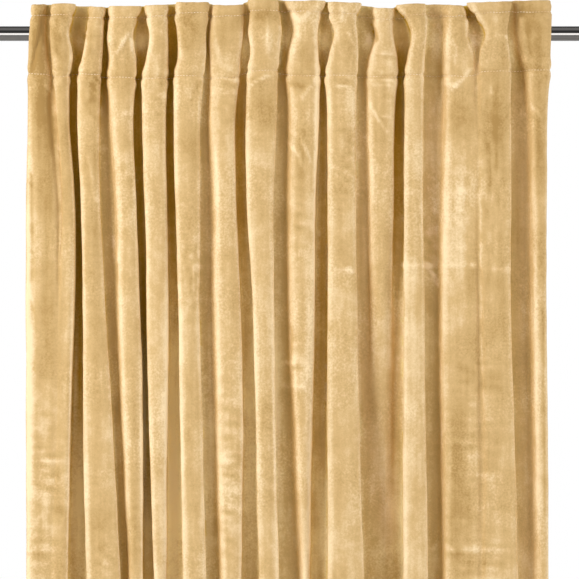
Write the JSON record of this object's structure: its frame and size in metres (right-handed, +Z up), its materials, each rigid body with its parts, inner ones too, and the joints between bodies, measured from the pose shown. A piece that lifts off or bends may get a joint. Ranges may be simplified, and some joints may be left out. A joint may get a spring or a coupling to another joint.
{
  "type": "velvet curtain on a round rod",
  "caption": "Full-length velvet curtain panel gathered in uneven soft folds on a plain round metal rod, which runs between the cloth and its heading tape.",
  "frame": {"origin": "on the rod's axis at the middle of its length", "axes": "+X along the rod to the right as seen from the room, +Y towards the window behind the curtain, +Z up"},
  "size_m": [1, 0.1028, 2.4074],
  "materials": {
    "velvet": "soft golden-sand pile velvet, brighter along the fold edges, blotchy where the pile is brushed",
    "tape": "plain cream woven heading tape, matt",
    "rod_metal": "polished dark metal"
  },
  "bodies": {
    "root": {"velvet_panel": "velvet", "heading_tape": "tape", "rod": "rod_metal"}
  },
  "joints": []
}
